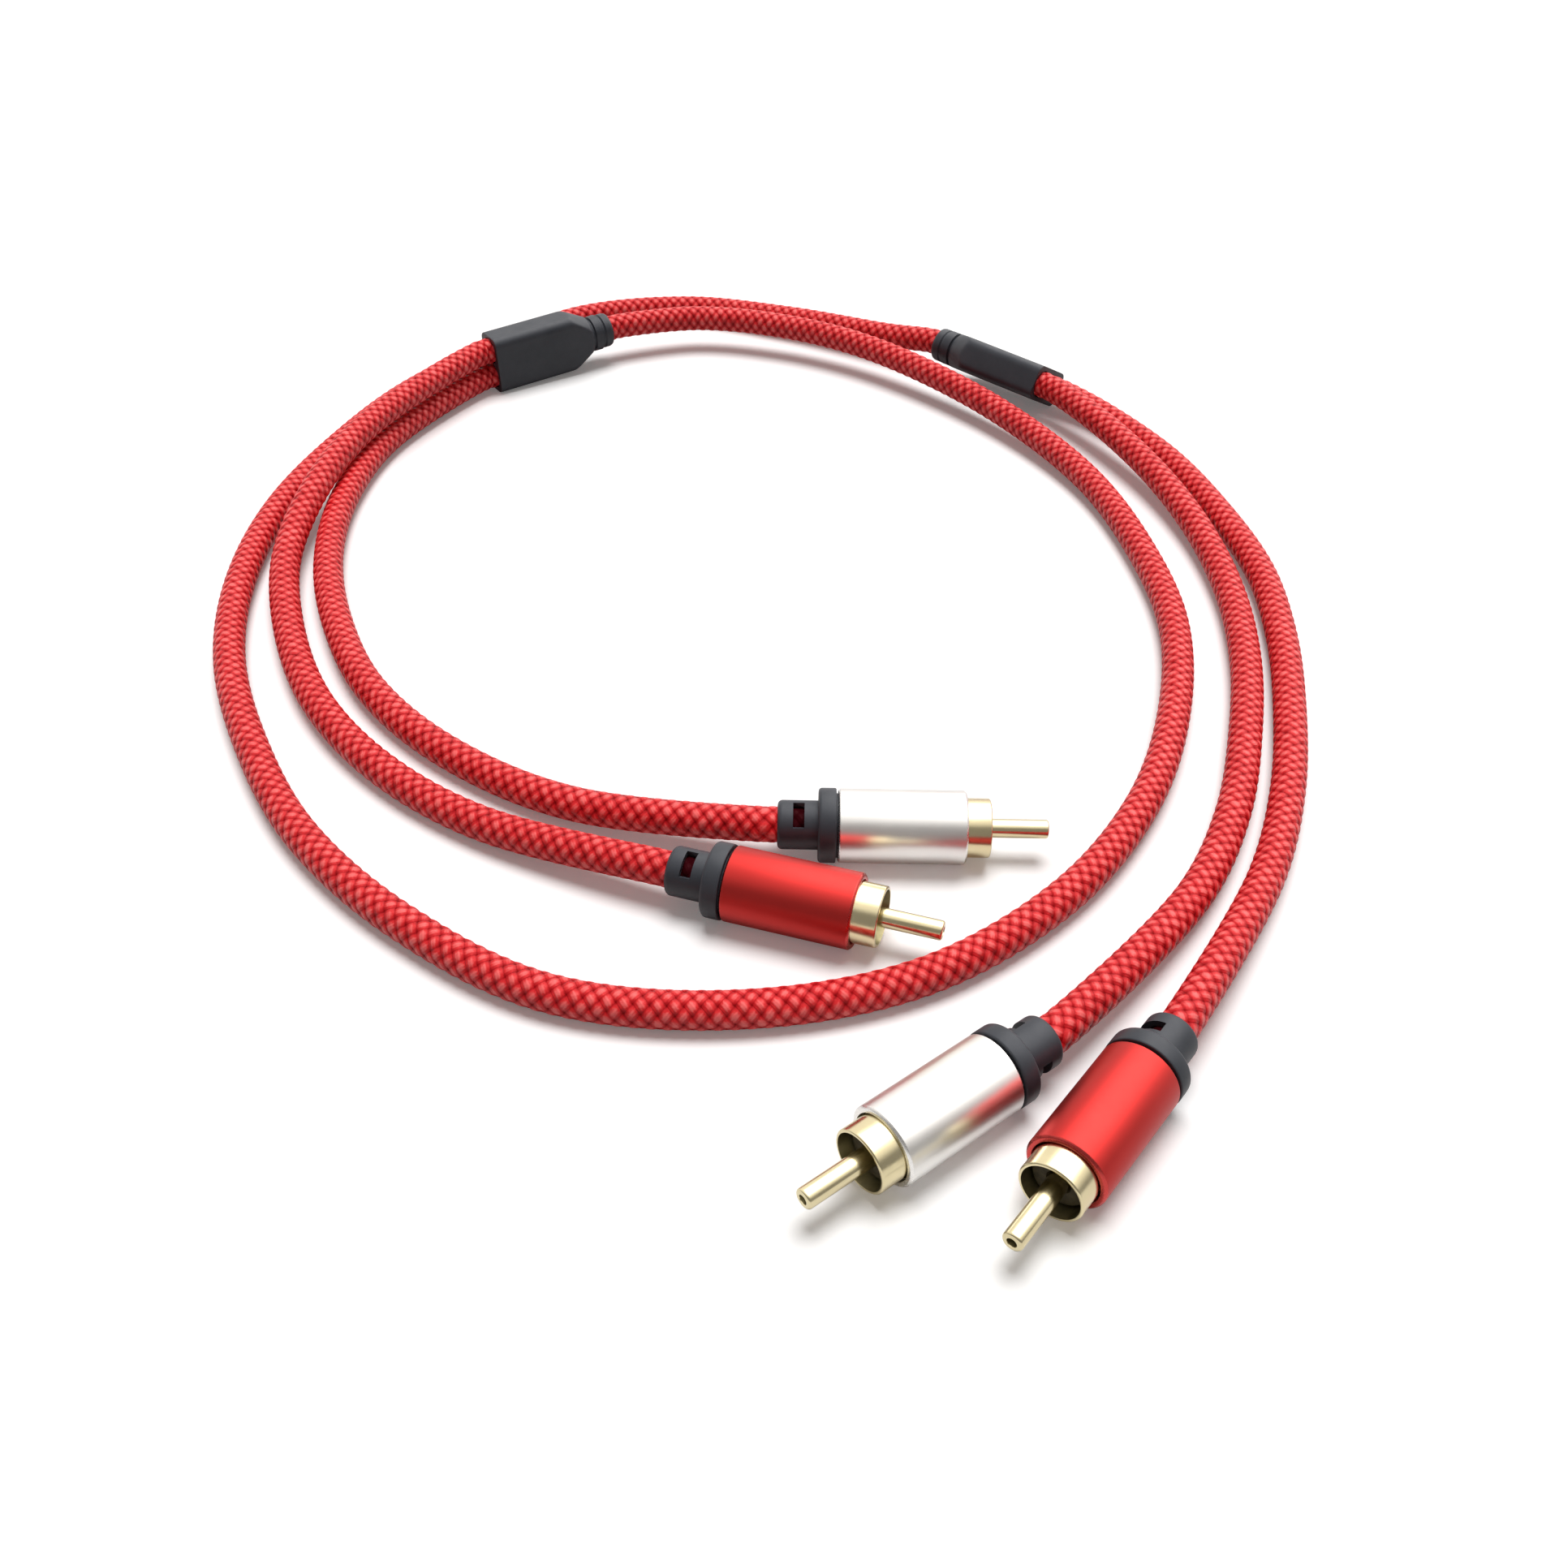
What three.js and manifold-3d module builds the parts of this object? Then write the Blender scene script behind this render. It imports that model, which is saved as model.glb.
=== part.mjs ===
import * as THREE from 'three';
import { mergeVertices } from 'three/addons/utils/BufferGeometryUtils.js';
import Module from 'manifold-3d';

// A stereo phono cable: one braided trunk cord that splits into two tails at each end,
// with a phono plug on every tail. Millimetres, +Z up, lying coiled on the plane z = 0.

const wasm = await Module();
wasm.setup();

// Fit between pieces that touch, how far a cutter runs past what it cuts, and how finely
// round pieces are faceted
const clearance = 0.3;
const overcut = 1;
const turnedFacets = 28;
const smallFacets = 16;

// Cords
const cordDiameter = 6.2;
const cordSides = 10;
const cordStep = 24;
const cordLead = 2.5;

// Barrel of the plug
const shellDiameter = 12.5;
const shellLength = 21.4;
const shellWall = 0.55;
const shellLipLength = 1.2;
const shellChamfer = 0.35;

// Strain relief behind the barrel
const flangeDiameter = 12.6;
const flangeLength = 3;
const flangeRound = 0.6;
const sleeveDiameter = 8.3;
const sleeveLength = 6.8;
const sleeveRound = 0.8;
const spigotLength = 5;
const slotWidth = 1.9;
const slotFromFlange = 2.3;
const slotAngle = 76;
const cordInPlug = 4;

// Ground skirt at the mating end
const skirtDiameter = 10;
const skirtWall = 0.5;
const skirtReach = 4;
const skirtEdge = 0.2;
const recessDepth = 2.2;
const collarLength = 3;
const skirtFloorThickness = 1.2;
const groundTabLength = 9;
const groundTabAngle = 44;
const groundTabThickness = 0.6;

// Centre pin and what it carries
const pinDiameter = 3.2;
const pinReach = 9.8;
const pinTipRound = 0.4;
const pinHoleDiameter = 1.5;
const pinHoleDepth = 5;
const pinShoulderDiameter = 4.8;
const pinShoulderLength = 1.2;
const cupLength = 3.5;
const cupFloor = 0.6;
const conductorDiameter = 1.2;
const insulationDiameter = 3.8;
const insulatorChamfer = 0.3;
const skirtFloorGap = 0.8;

// Splitters
const splitterWidth = 14.2;
const splitterThickness = 8.4;
const splitterRound = 2;
const splitterBevel = 0.4;
const splitterBodyLength = 22;
const shoulderLength = 5;
const collarDiameter = 8.8;
const collarEndDiameter = 8.4;
const neckDiameter = 7.7;
const neckLength = 0.7;
const collarRingLength = 2.2;
const collarEndRound = 0.7;
const cordInSplitter = 8;

// Where the plugs lie: the point on the axis at the front face of the flange, and the way
// the pin points, in degrees from +X. slotTurn turns the strain relief about its axis.
const plugPlaces = {
  rear_silver: { x: 12.1, y: -56.7, heading: -1, slotTurn: -22 },
  rear_red: { x: -5.5, y: -70.9, heading: -17.6, slotTurn: -22 },
  front_silver: { x: 33.7, y: -109.9, heading: -141.3, slotTurn: -61 },
  front_red: { x: 54.4, y: -110.3, heading: -127.3, slotTurn: -42 },
};

// Where the splitters lie: the centre of the two-cord end, the way the single cord leaves,
// how far the collar is raised, and the roll of the wide side about that axis from upright.
const splitterPlaces = {
  left: { x: -70.1, y: 118.2, height: splitterWidth / 2, heading: 33, pitch: 2, roll: 0 },
  right: { x: 67.7, y: 107.9, height: 6.6, heading: 139.2, pitch: 2.1, roll: -60 },
};

// Routes of the cords between their ends, chosen by hand: x, y and height of the centre line
const trunkRoute = [
  [-19.8, 143.9, 7.9], [0.9, 140.2, 7.8], [21.6, 129.9, 7.5], [43.3, 110.9, 6.3], [60.4, 89.4, 4.8],
  [72.7, 65.6, 3.7], [79.2, 38.5, 3.2], [81.2, 9.5, 3.2], [76.2, -19.5, 3.2], [65.9, -46.5, 3.2],
  [48.9, -70.5, 3.2], [24.9, -88.5, 3.2], [-3.1, -95.5, 3.2], [-32.1, -92.5, 3.2],
  [-57.1, -77.5, 3.2], [-78.1, -56.5, 3.2], [-93.1, -31.5, 3.2], [-104.1, -4.5, 3.2],
  [-109.1, 24.5, 3.2], [-108.1, 53.5, 3.2], [-101.1, 81.5, 3.2], [-90.1, 108.5, 3.2],
  [-73.1, 132.5, 3.2], [-51.4, 154.6, 3.3], [-23.2, 159.8, 3.9], [4.4, 151, 5],
  [30.2, 137.2, 6.5],
];
const tailRoutes = {
  rear_red: [
    [-91.6, 83.5, 9.6], [-98.6, 58.5, 8.4], [-101.1, 32.5, 4.8], [-95.6, 7.5, 3.4],
    [-84.1, -18.5, 3.2], [-68.1, -38.5, 3.2], [-48.1, -53.5, 3.5],
  ],
  rear_silver: [
    [-89.6, 86.5, 3.3], [-94.6, 60.5, 3.2], [-93.1, 33.5, 3.2], [-86.1, 8.5, 3.2],
    [-74.1, -15.5, 3.2], [-56.1, -34.5, 3.2], [-33.1, -48.5, 3.8],
  ],
  front_red: [
    [79.9, 98.5, 4.2], [91.9, 77.5, 3.5], [98.9, 54.5, 3.2], [102.9, 29.5, 3.2],
    [101.9, 5.5, 3.2], [97.9, -18.5, 3.2], [91.9, -42.5, 3.2], [82.9, -65.5, 3.5],
  ],
  front_silver: [
    [76.9, 89.5, 7.3], [86.9, 67.5, 5.5], [92.9, 44.5, 4.1], [94.9, 20.5, 3.3],
    [92.9, -3.5, 3.2], [87.9, -26.5, 3.2], [80.9, -49, 3.2], [69.9, -70.5, 3.6],
  ],
};

// Radii and stations that follow from the sizes above. Stations run along a plug's axis from
// the front face of the flange toward the pin.
const cordRadius = cordDiameter / 2;
const boreRadius = cordRadius + clearance;
const axisHeight = Math.max(flangeDiameter, shellDiameter) / 2;
const shellBore = shellDiameter / 2 - shellWall;
const skirtRadius = skirtDiameter / 2;
const skirtBore = skirtRadius - skirtWall;
const lipBore = skirtRadius + clearance;
const collarRadius = shellBore - clearance;
const pinRadius = pinDiameter / 2;
const shoulderRadius = pinShoulderDiameter / 2;
const cupBore = conductorDiameter / 2 + clearance;

const sleeveBack = -flangeLength - sleeveLength;
const shellBack = clearance;
const shellFront = shellBack + shellLength;
const skirtFront = shellFront + skirtReach;
const collarFront = shellFront - shellLipLength - clearance;
const skirtBack = collarFront - collarLength;
const insulatorBack = skirtBack + skirtFloorThickness + clearance;
const insulatorFront = skirtFront - recessDepth;
const shoulderFront = insulatorBack - clearance;
const shoulderBack = shoulderFront - pinShoulderLength;
const cupBack = shoulderBack - cupLength;
const cupBottom = shoulderBack - cupFloor;
const pinTip = skirtFront + pinReach;
const coreBack = cordInPlug + clearance;

const splitterLength = splitterBodyLength + shoulderLength + 2 * (neckLength + collarRingLength);
const tailPitch = cordDiameter + clearance;

// Colours, roughness and metalness read from the photograph
function paint(color, roughness, metalness) {
  return new THREE.MeshStandardMaterial({ color, roughness, metalness });
}
const finishes = {
  cord: () => paint(0xc8353a, 0.75, 0),
  rubber: () => paint(0x26292c, 0.6, 0),
  redShell: () => paint(0xc2201c, 0.35, 1),
  silverShell: () => paint(0xd9d6d2, 0.35, 1),
  gold: () => paint(0xd9c17a, 0.2, 1),
  insulator: () => paint(0x1a1c1e, 0.5, 0),
  insulation: () => paint(0xeae7df, 0.5, 0),
  copper: () => paint(0xb8693a, 0.35, 1),
};

// Points of a round edge in a turned profile, from one angle to another in degrees
function round(radius, station, size, from, to) {
  const steps = 3;
  return Array.from({ length: steps + 1 }, (_, i) => {
    const angle = THREE.MathUtils.degToRad(from + ((to - from) * i) / steps);
    return [radius + size * Math.cos(angle), station + size * Math.sin(angle)];
  });
}

// A profile of [radius, station] points turned about the X axis
function turned(profile, facets) {
  const points = profile.map(([radius, station]) => new THREE.Vector2(radius, station));
  return new THREE.LatheGeometry(points, facets).rotateZ(-Math.PI / 2);
}

// A ring profile closes on itself
function turnedRing(profile, facets) {
  return turned([...profile, profile[0]], facets);
}

// A flat outline in Y and Z, pushed along X from one station to the next
function pushed(shape, from, length, options = {}) {
  const geometry = new THREE.ExtrudeGeometry(shape, { depth: length, bevelEnabled: false, ...options });
  const basis = new THREE.Matrix4().makeBasis(
    new THREE.Vector3(0, 1, 0), new THREE.Vector3(0, 0, 1), new THREE.Vector3(1, 0, 0));
  return geometry.applyMatrix4(basis).translate(from, 0, 0);
}

// The same closed surface as a solid that can be joined and cut
function solid(geometry) {
  const bare = geometry.clone();
  bare.deleteAttribute('normal');
  bare.deleteAttribute('uv');
  const merged = mergeVertices(bare, 1e-4);
  const index = merged.index.array;
  const triangles = [];
  for (let i = 0; i < index.length; i += 3) {
    const [a, b, c] = [index[i], index[i + 1], index[i + 2]];
    if (a !== b && b !== c && c !== a) triangles.push(a, b, c);
  }
  return new wasm.Manifold(new wasm.Mesh({
    numProp: 3,
    vertProperties: new Float32Array(merged.attributes.position.array),
    triVerts: new Uint32Array(triangles),
  }));
}

function surface(manifold) {
  const mesh = manifold.getMesh();
  const geometry = new THREE.BufferGeometry();
  geometry.setAttribute('position', new THREE.BufferAttribute(mesh.vertProperties, 3));
  geometry.setIndex(new THREE.BufferAttribute(mesh.triVerts, 1));
  geometry.computeVertexNormals();
  return geometry;
}

// A wedge of a disc about the X axis, used to cut slots and to part a ring into a tab
function wedge(angle, reach, from, length) {
  const half = THREE.MathUtils.degToRad(angle / 2);
  const outline = new THREE.Shape();
  outline.moveTo(0, 0);
  outline.absarc(0, 0, reach, Math.PI / 2 - half, Math.PI / 2 + half, false);
  outline.closePath();
  return pushed(outline, from, length, { curveSegments: 6 });
}

// Strain relief: a slotted sleeve that the cord passes through, the flange that the barrel
// stops on and a spigot inside the barrel
function strainRelief() {
  const sleeve = sleeveDiameter / 2;
  const flange = flangeDiameter / 2;
  const spigot = shellBore - clearance;
  const body = solid(turnedRing([
    [boreRadius, sleeveBack],
    ...round(sleeve - sleeveRound, sleeveBack + sleeveRound, sleeveRound, -90, 0),
    [sleeve, -flangeLength],
    ...round(flange - flangeRound, -flangeLength + flangeRound, flangeRound, -90, 0),
    [flange, 0],
    [spigot, 0],
    [spigot, spigotLength],
    [boreRadius, spigotLength],
  ], turnedFacets));
  const slotBack = -flangeLength - slotFromFlange - slotWidth;
  const slot = wedge(slotAngle, sleeve + overcut, slotBack, slotWidth);
  const opposite = slot.clone().rotateX(Math.PI);
  return surface(body.subtract(solid(slot)).subtract(solid(opposite)));
}

// Barrel: a thin turned shell with chamfered rims and an inward lip that holds the skirt
function shell() {
  const outer = shellDiameter / 2;
  return turnedRing([
    [shellBore, shellBack],
    [outer - shellChamfer, shellBack],
    [outer, shellBack + shellChamfer],
    [outer, shellFront - shellChamfer],
    [outer - shellChamfer, shellFront],
    [lipBore, shellFront],
    [lipBore, shellFront - shellLipLength],
    [shellBore, shellFront - shellLipLength],
  ], turnedFacets);
}

// Ground skirt: a thin sleeve with a collar behind the barrel's lip, a floor behind the
// insulator and a solder tab that reaches back to the cord's screen
function groundSkirt() {
  const floorBore = shoulderRadius + skirtFloorGap;
  const sleeve = solid(turnedRing([
    [floorBore, skirtBack],
    [collarRadius, skirtBack],
    [collarRadius, collarFront],
    [skirtRadius, collarFront],
    [skirtRadius, skirtFront - skirtEdge],
    [skirtRadius - skirtEdge, skirtFront],
    [skirtBore, skirtFront],
    [skirtBore, skirtBack + skirtFloorThickness],
    [floorBore, skirtBack + skirtFloorThickness],
  ], turnedFacets));
  const tabBack = skirtBack - groundTabLength;
  const tabRoot = skirtBack + skirtFloorThickness / 2;
  const tabRing = solid(turnedRing([
    [collarRadius - groundTabThickness, tabBack],
    [collarRadius, tabBack],
    [collarRadius, tabRoot],
    [collarRadius - groundTabThickness, tabRoot],
  ], turnedFacets));
  const tabWedge = solid(wedge(groundTabAngle, collarRadius + overcut, tabBack - overcut,
    tabRoot - tabBack + 2 * overcut));
  return surface(sleeve.add(tabRing.intersect(tabWedge)));
}

// Insulating washer between skirt and pin, with its outer front edge chamfered
function insulator() {
  const outer = skirtBore - clearance;
  const bore = pinRadius + clearance;
  return turnedRing([
    [bore, insulatorBack],
    [outer, insulatorBack],
    [outer, insulatorFront - insulatorChamfer],
    [outer - insulatorChamfer, insulatorFront],
    [bore, insulatorFront],
  ], smallFacets);
}

// Centre pin: drilled tip, a shoulder that stops on the insulator and a solder cup
function centrePin() {
  return turned([
    [0, cupBottom],
    [cupBore, cupBottom],
    [cupBore, cupBack],
    [pinRadius, cupBack],
    [pinRadius, shoulderBack],
    [shoulderRadius, shoulderBack],
    [shoulderRadius, shoulderFront],
    [pinRadius, shoulderFront],
    ...round(pinRadius - pinTipRound, pinTip - pinTipRound, pinTipRound, 0, 90),
    [pinHoleDiameter / 2, pinTip],
    [pinHoleDiameter / 2, pinTip - pinHoleDepth],
    [0, pinTip - pinHoleDepth],
  ], smallFacets);
}

// Insulation of the signal wire, from the end of the cord to the solder cup
function wireInsulation() {
  const outer = insulationDiameter / 2;
  return turnedRing([
    [cupBore, coreBack],
    [outer, coreBack],
    [outer, cupBack - clearance],
    [cupBore, cupBack - clearance],
  ], smallFacets);
}

// Bare end of the signal wire, in the solder cup
function signalWire() {
  const wire = conductorDiameter / 2;
  const front = cupBottom - clearance;
  return turned([[0, coreBack], [wire, coreBack], [wire, front], [0, front]], smallFacets);
}

// Splitter: a flat moulding with two bores side by side, a tapered shoulder and a grooved
// collar round the single cord
function splitter() {
  const blockLength = splitterBodyLength + shoulderLength;
  const [halfThickness, halfWidth] = [splitterThickness / 2, splitterWidth / 2];
  const collar = collarDiameter / 2;
  const collarEnd = collarEndDiameter / 2;
  const neck = neckDiameter / 2;
  const outline = new THREE.Shape();
  const [y, z, r] = [halfThickness, halfWidth, splitterRound];
  outline.absarc(y - r, z - r, r, 0, Math.PI / 2, false);
  outline.absarc(-y + r, z - r, r, Math.PI / 2, Math.PI, false);
  outline.absarc(-y + r, -z + r, r, Math.PI, 1.5 * Math.PI, false);
  outline.absarc(y - r, -z + r, r, 1.5 * Math.PI, 2 * Math.PI, false);
  outline.closePath();
  const block = solid(pushed(outline, 0, blockLength, { curveSegments: 5 }));

  const corner = Math.hypot(halfThickness, halfWidth);
  const envelope = solid(turned([
    [0, 0],
    [corner - splitterBevel, 0],
    [corner, splitterBevel],
    [halfWidth + splitterRound, splitterBodyLength - splitterRound],
    [halfWidth, splitterBodyLength],
    [collar, blockLength],
    [0, blockLength],
  ], turnedFacets));

  const firstRing = blockLength + neckLength;
  const secondNeck = firstRing + collarRingLength;
  const secondRing = secondNeck + neckLength;
  const collarSolid = solid(turned([
    [0, blockLength - overcut],
    [neck, blockLength - overcut],
    [neck, firstRing],
    [collar, firstRing],
    [collar, secondNeck],
    [neck, secondNeck],
    [neck, secondRing],
    [collarEnd, secondRing],
    ...round(collarEnd - collarEndRound, splitterLength - collarEndRound, collarEndRound, 0, 90),
    [0, splitterLength],
  ], turnedFacets));

  const boreEnd = cordInSplitter + clearance;
  const bore = (from, to) => turned(
    [[0, from], [boreRadius, from], [boreRadius, to], [0, to]], turnedFacets);
  const single = solid(bore(splitterLength - boreEnd, splitterLength + overcut));
  const upper = solid(bore(-overcut, boreEnd).translate(0, 0, tailPitch / 2));
  const lower = solid(bore(-overcut, boreEnd).translate(0, 0, -tailPitch / 2));
  return surface(block.intersect(envelope).add(collarSolid)
    .subtract(single).subtract(upper).subtract(lower));
}

// A cord's centre line: the given points joined smoothly, read at the cord's own stations,
// so that both ends stay straight inside their bores
class CordLine extends THREE.Curve {
  constructor(points, leadIn, leadOut) {
    super();
    this.path = new THREE.CatmullRomCurve3(points, false, 'centripetal');
    this.path.arcLengthDivisions = 600;
    const length = this.path.getLength();
    const middle = length - leadIn - leadOut;
    const steps = Math.round(middle / cordStep);
    this.stations = [0];
    for (let i = 0; i <= steps; i += 1) this.stations.push(leadIn + (middle * i) / steps);
    this.stations.push(length);
    this.stations = this.stations.map((station) => station / length);
    this.steps = this.stations.length - 1;
  }

  getPoint(t, target = new THREE.Vector3()) {
    const place = Math.min(Math.max(t, 0), 1) * this.steps;
    const i = Math.min(Math.floor(place), this.steps - 1);
    const share = place - i;
    const u = this.stations[i] * (1 - share) + this.stations[i + 1] * share;
    return target.copy(this.path.getPointAt(u));
  }

  getPointAt(u, target) {
    return this.getPoint(u, target);
  }

  getTangentAt(u, target) {
    return this.getTangent(u, target);
  }
}

function cordTube(points, leadIn, leadOut) {
  const line = new CordLine(points, leadIn, leadOut);
  const section = new THREE.Shape();
  for (let i = 0; i < cordSides; i += 1) {
    const angle = (2 * Math.PI * i) / cordSides;
    const corner = [cordRadius * Math.cos(angle), cordRadius * Math.sin(angle)];
    if (i === 0) section.moveTo(...corner);
    else section.lineTo(...corner);
  }
  section.closePath();
  return new THREE.ExtrudeGeometry(section, { steps: line.steps, extrudePath: line, bevelEnabled: false });
}

// Where a plug or a splitter lies in the frame of the whole cable, and points on it
function lying({ x, y, height = axisHeight, heading, pitch = 0, roll = 0 }) {
  const turns = [roll, -pitch, heading].map(THREE.MathUtils.degToRad);
  return new THREE.Matrix4()
    .makeRotationFromEuler(new THREE.Euler(...turns, 'ZYX'))
    .setPosition(x, y, height);
}

function plugPoint(name, station) {
  return new THREE.Vector3(station, 0, 0).applyMatrix4(lying(plugPlaces[name]));
}

function splitterPoint(name, station, side = 0) {
  const point = new THREE.Vector3(station, 0, (side * tailPitch) / 2);
  return point.applyMatrix4(lying(splitterPlaces[name]));
}

const cable = new THREE.Group();

function piece(group, name, geometry, material) {
  const mesh = new THREE.Mesh(geometry, material);
  mesh.name = name;
  group.add(mesh);
  return mesh;
}

// Four plugs
for (const [name, place] of Object.entries(plugPlaces)) {
  const plug = new THREE.Group();
  plug.applyMatrix4(lying(place));
  const shellFinish = name.endsWith('red') ? finishes.redShell() : finishes.silverShell();
  const relief = piece(plug, `${name}_strain_relief`, strainRelief(), finishes.rubber());
  relief.rotation.x = THREE.MathUtils.degToRad(-place.slotTurn);
  piece(plug, `${name}_shell`, shell(), shellFinish);
  piece(plug, `${name}_ground_skirt`, groundSkirt(), finishes.gold());
  piece(plug, `${name}_insulator`, insulator(), finishes.insulator());
  piece(plug, `${name}_centre_pin`, centrePin(), finishes.gold());
  piece(plug, `${name}_wire_insulation`, wireInsulation(), finishes.insulation());
  piece(plug, `${name}_signal_wire`, signalWire(), finishes.copper());
  cable.add(plug);
}

// Two splitters
for (const [name, place] of Object.entries(splitterPlaces)) {
  const mesh = piece(cable, `${name}_splitter`, splitter(), finishes.rubber());
  mesh.applyMatrix4(lying(place));
}

// Trunk cord, from the collar of one splitter round the coil to the collar of the other
const vectors = (route) => route.map((point) => new THREE.Vector3(...point));
const collarEnds = (name) => [
  splitterPoint(name, splitterLength - cordInSplitter),
  splitterPoint(name, splitterLength),
  splitterPoint(name, splitterLength + cordLead),
];
piece(cable, 'trunk_cord', cordTube([
  ...collarEnds('left'),
  ...vectors(trunkRoute),
  ...collarEnds('right').reverse(),
], cordInSplitter, cordInSplitter), finishes.cord());

// Tail cords, each from its bore in a splitter to its plug
const tailStarts = {
  rear_red: ['left', 1],
  rear_silver: ['left', -1],
  front_red: ['right', -1],
  front_silver: ['right', 1],
};
for (const [name, [end, side]] of Object.entries(tailStarts)) {
  piece(cable, `${name}_tail`, cordTube([
    splitterPoint(end, cordInSplitter, side),
    splitterPoint(end, 0, side),
    splitterPoint(end, -cordLead, side),
    ...vectors(tailRoutes[name]),
    plugPoint(name, sleeveBack - cordLead),
    plugPoint(name, sleeveBack),
    plugPoint(name, cordInPlug),
  ], cordInSplitter, cordInPlug - sleeveBack), finishes.cord());
}

export default cable;
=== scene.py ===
import math

import bmesh
import bpy
import numpy as np
from mathutils import Matrix, Vector


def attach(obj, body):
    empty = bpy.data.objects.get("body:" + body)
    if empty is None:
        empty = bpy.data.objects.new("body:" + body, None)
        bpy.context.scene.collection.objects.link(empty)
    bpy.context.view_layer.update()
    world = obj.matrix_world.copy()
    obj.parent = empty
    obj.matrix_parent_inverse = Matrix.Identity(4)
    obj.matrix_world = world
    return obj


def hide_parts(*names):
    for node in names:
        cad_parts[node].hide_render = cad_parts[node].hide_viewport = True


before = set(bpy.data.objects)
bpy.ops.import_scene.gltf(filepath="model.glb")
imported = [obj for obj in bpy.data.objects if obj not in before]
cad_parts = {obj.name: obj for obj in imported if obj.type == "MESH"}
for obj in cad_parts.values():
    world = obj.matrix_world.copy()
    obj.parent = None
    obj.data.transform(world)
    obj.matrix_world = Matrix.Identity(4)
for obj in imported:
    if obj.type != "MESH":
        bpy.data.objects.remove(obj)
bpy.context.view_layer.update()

mm = 0.001

# Camera
# A hand-held view from the near side, looking down on the coil at about forty degrees, with
# the splitters at the top of the frame and the two front plugs at its foot.
camera_at = (2.6 * mm, -262.7 * mm, 185.1 * mm)
camera_tilt, camera_roll = math.radians(50.49), math.radians(0.37)

camera = bpy.data.objects.new("camera", bpy.data.cameras.new("camera"))
camera.data.lens = 37.34
camera.data.sensor_width = 36
camera.data.clip_start = 0.01
camera.matrix_world = (
    Matrix.Translation(camera_at)
    @ Matrix.Rotation(camera_tilt, 4, "X")
    @ Matrix.Rotation(camera_roll, 4, "Z")
)
bpy.context.collection.objects.link(camera)
bpy.context.scene.camera = camera
bpy.context.scene.view_settings.view_transform = "Standard"


# Trunk cord
# A round cord in a sleeve of red yarn, braided by twelve carriers so that each strand passes
# over one and under one. It runs from the collar of one splitter round the coil to the other.
cord_diameter = 6.2 * mm
cord_lead = 2.5 * mm
cord_in_splitter = 8 * mm

strands_each_way = 6
strand_pitch = 2.5 * mm
strand_relief = 0.35 * mm
strand_fullness = 0.6
yarns_per_strand = 4
rings_per_pitch = 6
columns_per_strand = 8

splitter_length = 32.8 * mm
tail_pitch = 6.5 * mm
splitter_places = {
    "left": dict(at=(-70.1, 118.2, 7.1), heading=33, pitch=2),
    "right": dict(at=(67.7, 107.9, 6.6), heading=139.2, pitch=2.1, roll=-60),
}
trunk_route = [
    (-19.8, 143.9, 7.9), (0.9, 140.2, 7.8), (21.6, 129.9, 7.5), (43.3, 110.9, 6.3),
    (60.4, 89.4, 4.8), (72.7, 65.6, 3.7), (79.2, 38.5, 3.2), (81.2, 9.5, 3.2), (76.2, -19.5, 3.2),
    (65.9, -46.5, 3.2), (48.9, -70.5, 3.2), (24.9, -88.5, 3.2), (-3.1, -95.5, 3.2),
    (-32.1, -92.5, 3.2), (-57.1, -77.5, 3.2), (-78.1, -56.5, 3.2), (-93.1, -31.5, 3.2),
    (-104.1, -4.5, 3.2), (-109.1, 24.5, 3.2), (-108.1, 53.5, 3.2), (-101.1, 81.5, 3.2),
    (-90.1, 108.5, 3.2), (-73.1, 132.5, 3.2), (-51.4, 154.6, 3.3), (-23.2, 159.8, 3.9),
    (4.4, 151, 5), (30.2, 137.2, 6.5),
]


def placed(at, heading, pitch=0, roll=0):
    """A place in millimetres and the turns, in degrees, of a piece that lies along +X."""
    return (
        Matrix.Translation(Vector(at) * mm)
        @ Matrix.Rotation(math.radians(heading), 4, "Z")
        @ Matrix.Rotation(math.radians(-pitch), 4, "Y")
        @ Matrix.Rotation(math.radians(roll), 4, "X")
    )


def splitter_point(name, along, side=0):
    return placed(**splitter_places[name]) @ Vector((along, 0, side * tail_pitch / 2))


def smooth_route(points, step, reads_per_span=60):
    """Centripetal spline through the points, read at even steps along its length."""
    points = np.array([tuple(p) for p in points])
    points = np.vstack([2 * points[0] - points[1], points, 2 * points[-1] - points[-2]])
    knots = np.sqrt(np.linalg.norm(np.diff(points, axis=0), axis=1))
    fine = []
    for i in range(1, len(points) - 2):
        share = np.linspace(0, 1, reads_per_span, endpoint=False)[:, None]
        before, here, after = knots[i - 1], knots[i], knots[i + 1]
        p0, p1, p2, p3 = points[i - 1 : i + 3]
        leave = ((p1 - p0) / before - (p2 - p0) / (before + here) + (p2 - p1) / here) * here
        arrive = ((p2 - p1) / here - (p3 - p1) / (here + after) + (p3 - p2) / after) * here
        fine.append(
            p1
            + leave * share
            + (3 * (p2 - p1) - 2 * leave - arrive) * share**2
            + (2 * (p1 - p2) + leave + arrive) * share**3
        )
    fine = np.vstack(fine + [points[-2:-1]])
    reach = np.concatenate([[0], np.cumsum(np.linalg.norm(np.diff(fine, axis=0), axis=1))])
    rings = round(reach[-1] / step) + 1
    stations = np.linspace(0, reach[-1], rings)
    return np.stack([np.interp(stations, reach, fine[:, k]) for k in range(3)], 1), stations


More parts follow.
